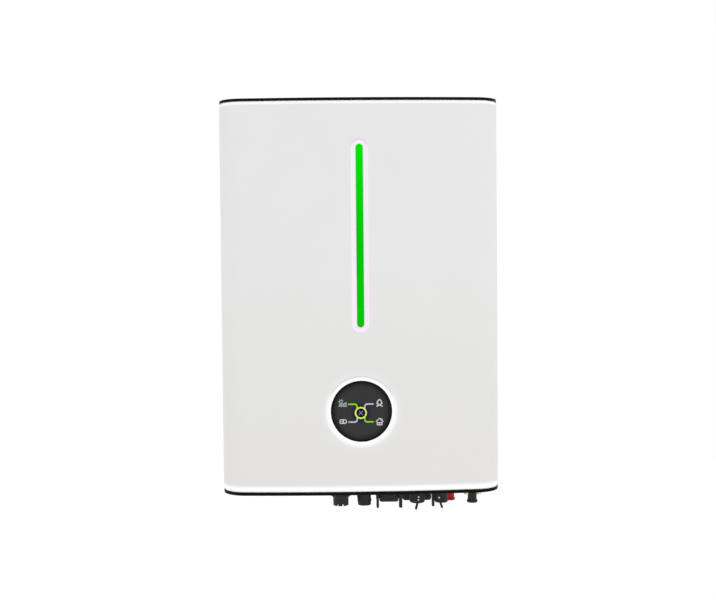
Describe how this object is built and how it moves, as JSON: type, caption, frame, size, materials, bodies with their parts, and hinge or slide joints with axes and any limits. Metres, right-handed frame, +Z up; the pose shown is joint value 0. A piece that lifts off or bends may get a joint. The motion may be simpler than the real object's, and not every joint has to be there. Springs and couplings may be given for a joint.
{
  "type": "string inverter",
  "caption": "Wall-hung solar string inverter with a bowed white cover, a green light bar, a round display and a row of sealed plugs, a switch and caps underneath.",
  "frame": {"origin": "middle of the wall bracket's four fixing holes, on the wall plane", "axes": "+X to the right of a person facing the inverter, +Y into the wall, +Z up"},
  "size_m": [0.39, 0.19, 0.5873],
  "materials": {
    "cover_white": "satin powder coat",
    "edge_black": "satin moulded",
    "housing_grey": "fine-textured powder coat",
    "heat_sink_aluminium": "bead-blasted, clear anodised",
    "plate_steel": "zinc plated",
    "screw_steel": "stainless",
    "screw_brass": "yellow zinc",
    "light_green": "milky diffuser",
    "led": "clear domed",
    "display_black": "smoked, hard coated",
    "board_green": "solder resist",
    "moulded_black": "fine spark texture",
    "moulded_white": "satin",
    "cable_grey": "flat cable",
    "lead_insulation": "satin",
    "seal_rubber": "matt",
    "cap_black": "matt",
    "cap_red": "satin",
    "capacitor_sleeve": "shrunk sleeve",
    "film_box": "moulded box",
    "core_potting": "potting compound",
    "relay_box": "moulded box"
  },
  "bodies": {
    "bracket": {"wall_bracket": "plate_steel"},
    "inverter": {"front_cover": "cover_white", "top_cap": "edge_black", "bottom_cap": "edge_black", "light_bar_lens": "light_green", "light_bar_board": "board_green", "light_bar_leds": "led", "display_window": "display_black", "display_board": "board_green", "display_carrier": "moulded_black", "display_cable": "cable_grey", "rear_housing": "housing_grey", "housing_lid": "plate_steel", "lid_gasket": "seal_rubber", "lid_screws": "screw_steel", "cover_screws": "screw_steel", "heat_sink": "heat_sink_aluminium", "heat_sink_gasket": "seal_rubber", "heat_sink_screws": "screw_steel", "hanger_plate": "plate_steel", "hanger_screws": "screw_steel", "wall_spacers": "seal_rubber", "power_board": "board_green", "board_standoffs": "screw_brass", "board_screws": "screw_steel", "power_modules": "moulded_black", "dc_link_capacitors": "capacitor_sleeve", "boost_inductors": "core_potting", "filter_chokes": "core_potting", "output_relays": "relay_box", "film_capacitors": "film_box", "auxiliary_transformer": "core_potting", "control_board": "board_green", "terminal_blocks": "moulded_white", "power_leads": "lead_insulation", "pv_minus_sockets": "moulded_black", "pv_plus_sockets": "moulded_black", "pv_socket_nuts": "moulded_black", "dc_switch_base": "moulded_black", "dc_switch_body": "moulded_white", "grid_socket": "moulded_black", "backup_socket": "moulded_black", "com_connector": "moulded_black", "battery_sockets": "moulded_black", "datalogger_port": "moulded_black", "datalogger_screws": "screw_brass", "service_cover": "plate_steel", "service_cover_gasket": "seal_rubber", "service_cover_screws": "screw_steel", "vent_valve": "moulded_black", "earth_screw": "screw_steel"},
    "dc_switch": {"dc_switch_knob": "moulded_black", "dc_switch_shaft": "screw_steel"},
    "grid_cap": {"grid_cap": "cap_black", "grid_cap_rivets": "screw_steel"},
    "backup_cap": {"backup_cap": "cap_black", "backup_cap_rivets": "screw_steel"},
    "battery_plus_cap": {"battery_plus_cap": "cap_red"},
    "battery_minus_cap": {"battery_minus_cap": "cap_black"},
    "datalogger_cap": {"datalogger_cap": "cap_black"}
  },
  "joints": [
    {"name": "inverter_lift", "type": "slide", "parent": "bracket", "child": "inverter", "axis": [0, 0, 1], "range_m": [0, 0.015]},
    {"name": "dc_switch_turn", "type": "hinge", "parent": "inverter", "child": "dc_switch", "pos_m": [0.0413, -0.104, -0.4941], "axis": [0, 0, -1], "range_deg": [0, 90]},
    {"name": "grid_cap_pull", "type": "slide", "parent": "inverter", "child": "grid_cap", "axis": [0, 0, -1], "range_m": [0, 0.018]},
    {"name": "backup_cap_pull", "type": "slide", "parent": "inverter", "child": "backup_cap", "axis": [0, 0, -1], "range_m": [0, 0.018]},
    {"name": "battery_plus_cap_pull", "type": "slide", "parent": "inverter", "child": "battery_plus_cap", "axis": [0, 0, -1], "range_m": [0, 0.018]},
    {"name": "battery_minus_cap_pull", "type": "slide", "parent": "inverter", "child": "battery_minus_cap", "axis": [0, 0, -1], "range_m": [0, 0.018]},
    {"name": "datalogger_cap_pull", "type": "slide", "parent": "inverter", "child": "datalogger_cap", "axis": [0, 0, -1], "range_m": [0, 0.015]}
  ]
}
